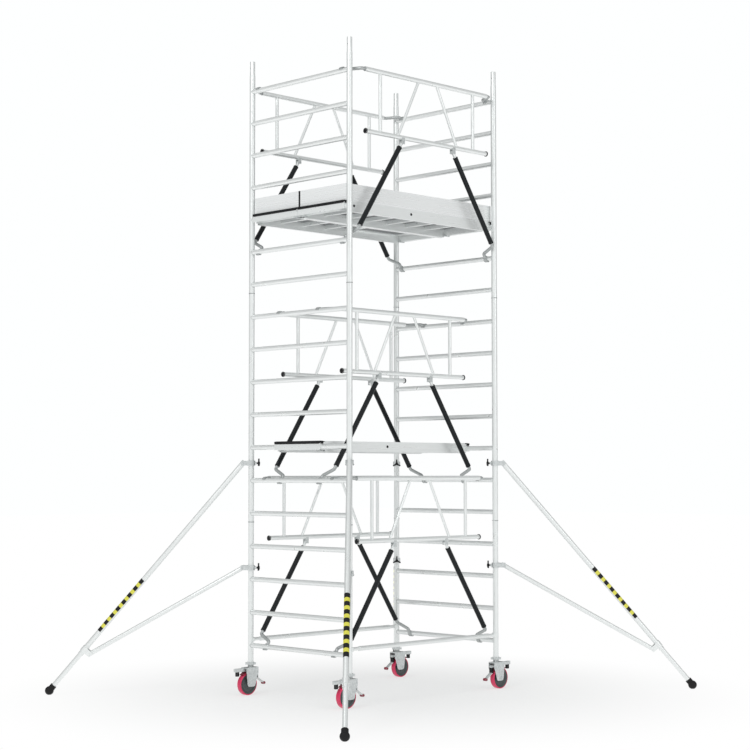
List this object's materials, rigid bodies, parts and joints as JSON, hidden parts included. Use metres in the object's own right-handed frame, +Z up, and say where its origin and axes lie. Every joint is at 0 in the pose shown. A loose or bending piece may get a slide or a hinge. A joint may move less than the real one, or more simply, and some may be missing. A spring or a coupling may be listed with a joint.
{
  "type": "mobile tower scaffold",
  "caption": "Tall wheeled aluminium access tower with ladder end frames, two deck levels, guard frames with folding stays, toe boards and splayed outrigger legs.",
  "frame": {"origin": "on the floor under the middle of the four uprights", "axes": "+Z up; +X along the long side of the tower; +Y across it, towards the far side"},
  "size_m": [4.573, 3.973, 5.831],
  "materials": {
    "tube": "satin",
    "casting": "as cast",
    "zinc": "zinc plated",
    "decking": "phenolic faced",
    "board": "satin",
    "dark_plastic": "moulded",
    "sleeve": "moulded",
    "tread": "polyurethane",
    "brake": "painted"
  },
  "bodies": {
    "tower": {"base_frame_left": "tube", "base_frame_right": "tube", "middle_frame_left": "tube", "middle_frame_right": "tube", "top_frame_left": "tube", "top_frame_right": "tube", "locking_clips": "zinc", "base_braces": "tube", "guard_hooks": "casting", "platform_top_near": "tube", "platform_top_far": "tube", "platform_middle": "tube", "deck_panels": "decking", "toe_boards": "board", "platform_fittings": "dark_plastic", "adjusting_nuts": "zinc", "guard_frame_top_near": "tube", "guard_frame_top_far": "tube", "guard_frame_middle_near": "tube", "guard_frame_middle_far": "tube", "guard_frame_low_near": "tube", "guard_frame_low_far": "tube"},
    "guard_stay_top_near_left": {"guard_stay_top_near_left": "sleeve"},
    "guard_stay_top_near_right": {"guard_stay_top_near_right": "sleeve"},
    "guard_stay_top_far_left": {"guard_stay_top_far_left": "sleeve"},
    "guard_stay_top_far_right": {"guard_stay_top_far_right": "sleeve"},
    "guard_stay_middle_near_left": {"guard_stay_middle_near_left": "sleeve"},
    "guard_stay_middle_near_right": {"guard_stay_middle_near_right": "sleeve"},
    "guard_stay_middle_far_left": {"guard_stay_middle_far_left": "sleeve"},
    "guard_stay_middle_far_right": {"guard_stay_middle_far_right": "sleeve"},
    "guard_stay_low_near_left": {"guard_stay_low_near_left": "sleeve"},
    "guard_stay_low_near_right": {"guard_stay_low_near_right": "sleeve"},
    "guard_stay_low_far_left": {"guard_stay_low_far_left": "sleeve"},
    "guard_stay_low_far_right": {"guard_stay_low_far_right": "sleeve"},
    "hatch_top": {"hatch_top": "decking"},
    "hatch_middle": {"hatch_middle": "decking"},
    "castor_spindle_a": {"castor_spindle_a": "zinc"},
    "castor_fork_a": {"castor_fork_a": "zinc"},
    "castor_wheel_a": {"castor_wheel_a": "tread"},
    "brake_pedal_a": {"brake_pedal_a": "brake"},
    "stabiliser_leg_a": {"stabiliser_leg_a": "tube"},
    "stabiliser_foot_a": {"stabiliser_foot_a": "tube"},
    "castor_spindle_b": {"castor_spindle_b": "zinc"},
    "castor_fork_b": {"castor_fork_b": "zinc"},
    "castor_wheel_b": {"castor_wheel_b": "tread"},
    "brake_pedal_b": {"brake_pedal_b": "brake"},
    "stabiliser_leg_b": {"stabiliser_leg_b": "tube"},
    "stabiliser_foot_b": {"stabiliser_foot_b": "tube"},
    "castor_spindle_c": {"castor_spindle_c": "zinc"},
    "castor_fork_c": {"castor_fork_c": "zinc"},
    "castor_wheel_c": {"castor_wheel_c": "tread"},
    "brake_pedal_c": {"brake_pedal_c": "brake"},
    "stabiliser_leg_c": {"stabiliser_leg_c": "tube"},
    "stabiliser_foot_c": {"stabiliser_foot_c": "tube"},
    "castor_spindle_d": {"castor_spindle_d": "zinc"},
    "castor_fork_d": {"castor_fork_d": "zinc"},
    "castor_wheel_d": {"castor_wheel_d": "tread"},
    "brake_pedal_d": {"brake_pedal_d": "brake"},
    "stabiliser_leg_d": {"stabiliser_leg_d": "tube"},
    "stabiliser_foot_d": {"stabiliser_foot_d": "tube"}
  },
  "joints": [
    {"name": "stay_fold_top_near_left", "type": "hinge", "parent": "tower", "child": "guard_stay_top_near_left", "pos_m": [-0.335, -0.69, 4.975], "axis": [0, -1, 0], "range_deg": [0, 33.5]},
    {"name": "stay_fold_top_near_right", "type": "hinge", "parent": "tower", "child": "guard_stay_top_near_right", "pos_m": [0.335, -0.69, 4.975], "axis": [0, 1, 0], "range_deg": [0, 33.5]},
    {"name": "stay_fold_top_far_left", "type": "hinge", "parent": "tower", "child": "guard_stay_top_far_left", "pos_m": [-0.335, 0.69, 4.975], "axis": [0, -1, 0], "range_deg": [0, 33.5]},
    {"name": "stay_fold_top_far_right", "type": "hinge", "parent": "tower", "child": "guard_stay_top_far_right", "pos_m": [0.335, 0.69, 4.975], "axis": [0, 1, 0], "range_deg": [0, 33.5]},
    {"name": "stay_fold_middle_near_left", "type": "hinge", "parent": "tower", "child": "guard_stay_middle_near_left", "pos_m": [-0.335, -0.39, 2.875], "axis": [0, -1, 0], "range_deg": [0, 33.5]},
    {"name": "stay_fold_middle_near_right", "type": "hinge", "parent": "tower", "child": "guard_stay_middle_near_right", "pos_m": [0.335, -0.39, 2.875], "axis": [0, 1, 0], "range_deg": [0, 33.5]},
    {"name": "stay_fold_middle_far_left", "type": "hinge", "parent": "tower", "child": "guard_stay_middle_far_left", "pos_m": [-0.335, 0.39, 2.875], "axis": [0, -1, 0], "range_deg": [0, 33.5]},
    {"name": "stay_fold_middle_far_right", "type": "hinge", "parent": "tower", "child": "guard_stay_middle_far_right", "pos_m": [0.335, 0.39, 2.875], "axis": [0, 1, 0], "range_deg": [0, 33.5]},
    {"name": "stay_fold_low_near_left", "type": "hinge", "parent": "tower", "child": "guard_stay_low_near_left", "pos_m": [-0.335, -0.58, 1.375], "axis": [0, -1, 0], "range_deg": [0, 33.5]},
    {"name": "stay_fold_low_near_right", "type": "hinge", "parent": "tower", "child": "guard_stay_low_near_right", "pos_m": [0.335, -0.58, 1.375], "axis": [0, 1, 0], "range_deg": [0, 33.5]},
    {"name": "stay_fold_low_far_left", "type": "hinge", "parent": "tower", "child": "guard_stay_low_far_left", "pos_m": [-0.335, 0.58, 1.375], "axis": [0, -1, 0], "range_deg": [0, 33.5]},
    {"name": "stay_fold_low_far_right", "type": "hinge", "parent": "tower", "child": "guard_stay_low_far_right", "pos_m": [0.335, 0.58, 1.375], "axis": [0, 1, 0], "range_deg": [0, 33.5]},
    {"name": "hatch_top_lift", "type": "hinge", "parent": "tower", "child": "hatch_top", "pos_m": [0.55, 0.5475, 4.392], "axis": [-1, 0, 0], "range_deg": [0, 90]},
    {"name": "hatch_middle_lift", "type": "hinge", "parent": "tower", "child": "hatch_middle", "pos_m": [0.55, 0.24, 2.292], "axis": [-1, 0, 0], "range_deg": [0, 90]},
    {"name": "level_a", "type": "slide", "parent": "tower", "child": "castor_spindle_a", "axis": [0, 0, 1], "range_m": [-0.15, 0]},
    {"name": "swivel_a", "type": "hinge", "parent": "castor_spindle_a", "child": "castor_fork_a", "pos_m": [-0.95, 0.65, 0.2454], "axis": [0, 0, 1], "continuous": true},
    {"name": "roll_a", "type": "hinge", "parent": "castor_fork_a", "child": "castor_wheel_a", "pos_m": [-0.992, 0.65, 0.1], "axis": [0, 1, 0], "continuous": true},
    {"name": "brake_a", "type": "hinge", "parent": "castor_fork_a", "child": "brake_pedal_a", "pos_m": [-0.899, 0.65, 0.212], "axis": [0, 1, 0], "range_deg": [0, 12]},
    {"name": "outrigger_swing_a", "type": "hinge", "parent": "tower", "child": "stabiliser_leg_a", "pos_m": [-0.95, 0.65, 2.105], "axis": [0, 0, 1], "range_deg": [-45, 45]},
    {"name": "outrigger_extend_a", "type": "slide", "parent": "stabiliser_leg_a", "child": "stabiliser_foot_a", "axis": [-0.4587, 0.4587, -0.7611], "range_m": [-0.3, 0.3]},
    {"name": "level_b", "type": "slide", "parent": "tower", "child": "castor_spindle_b", "axis": [0, 0, 1], "range_m": [-0.15, 0]},
    {"name": "swivel_b", "type": "hinge", "parent": "castor_spindle_b", "child": "castor_fork_b", "pos_m": [-0.95, -0.65, 0.2454], "axis": [0, 0, 1], "continuous": true},
    {"name": "roll_b", "type": "hinge", "parent": "castor_fork_b", "child": "castor_wheel_b", "pos_m": [-0.992, -0.65, 0.1], "axis": [0, 1, 0], "continuous": true},
    {"name": "brake_b", "type": "hinge", "parent": "castor_fork_b", "child": "brake_pedal_b", "pos_m": [-0.899, -0.65, 0.212], "axis": [0, 1, 0], "range_deg": [0, 12]},
    {"name": "outrigger_swing_b", "type": "hinge", "parent": "tower", "child": "stabiliser_leg_b", "pos_m": [-0.95, -0.65, 2.105], "axis": [0, 0, 1], "range_deg": [-45, 45]},
    {"name": "outrigger_extend_b", "type": "slide", "parent": "stabiliser_leg_b", "child": "stabiliser_foot_b", "axis": [-0.4587, -0.4587, -0.7611], "range_m": [-0.3, 0.3]},
    {"name": "level_c", "type": "slide", "parent": "tower", "child": "castor_spindle_c", "axis": [0, 0, 1], "range_m": [-0.15, 0]},
    {"name": "swivel_c", "type": "hinge", "parent": "castor_spindle_c", "child": "castor_fork_c", "pos_m": [0.95, 0.65, 0.2454], "axis": [0, 0, 1], "continuous": true},
    {"name": "roll_c", "type": "hinge", "parent": "castor_fork_c", "child": "castor_wheel_c", "pos_m": [0.992, 0.65, 0.1], "axis": [0, 1, 0], "continuous": true},
    {"name": "brake_c", "type": "hinge", "parent": "castor_fork_c", "child": "brake_pedal_c", "pos_m": [0.899, 0.65, 0.212], "axis": [0, -1, 0], "range_deg": [0, 12]},
    {"name": "outrigger_swing_c", "type": "hinge", "parent": "tower", "child": "stabiliser_leg_c", "pos_m": [0.95, 0.65, 2.105], "axis": [0, 0, 1], "range_deg": [-45, 45]},
    {"name": "outrigger_extend_c", "type": "slide", "parent": "stabiliser_leg_c", "child": "stabiliser_foot_c", "axis": [0.4587, 0.4587, -0.7611], "range_m": [-0.3, 0.3]},
    {"name": "level_d", "type": "slide", "parent": "tower", "child": "castor_spindle_d", "axis": [0, 0, 1], "range_m": [-0.15, 0]},
    {"name": "swivel_d", "type": "hinge", "parent": "castor_spindle_d", "child": "castor_fork_d", "pos_m": [0.95, -0.65, 0.2454], "axis": [0, 0, 1], "continuous": true},
    {"name": "roll_d", "type": "hinge", "parent": "castor_fork_d", "child": "castor_wheel_d", "pos_m": [0.992, -0.65, 0.1], "axis": [0, 1, 0], "continuous": true},
    {"name": "brake_d", "type": "hinge", "parent": "castor_fork_d", "child": "brake_pedal_d", "pos_m": [0.899, -0.65, 0.212], "axis": [0, -1, 0], "range_deg": [0, 12]},
    {"name": "outrigger_swing_d", "type": "hinge", "parent": "tower", "child": "stabiliser_leg_d", "pos_m": [0.95, -0.65, 2.105], "axis": [0, 0, 1], "range_deg": [-45, 45]},
    {"name": "outrigger_extend_d", "type": "slide", "parent": "stabiliser_leg_d", "child": "stabiliser_foot_d", "axis": [0.4587, -0.4587, -0.7611], "range_m": [-0.3, 0.3]}
  ]
}
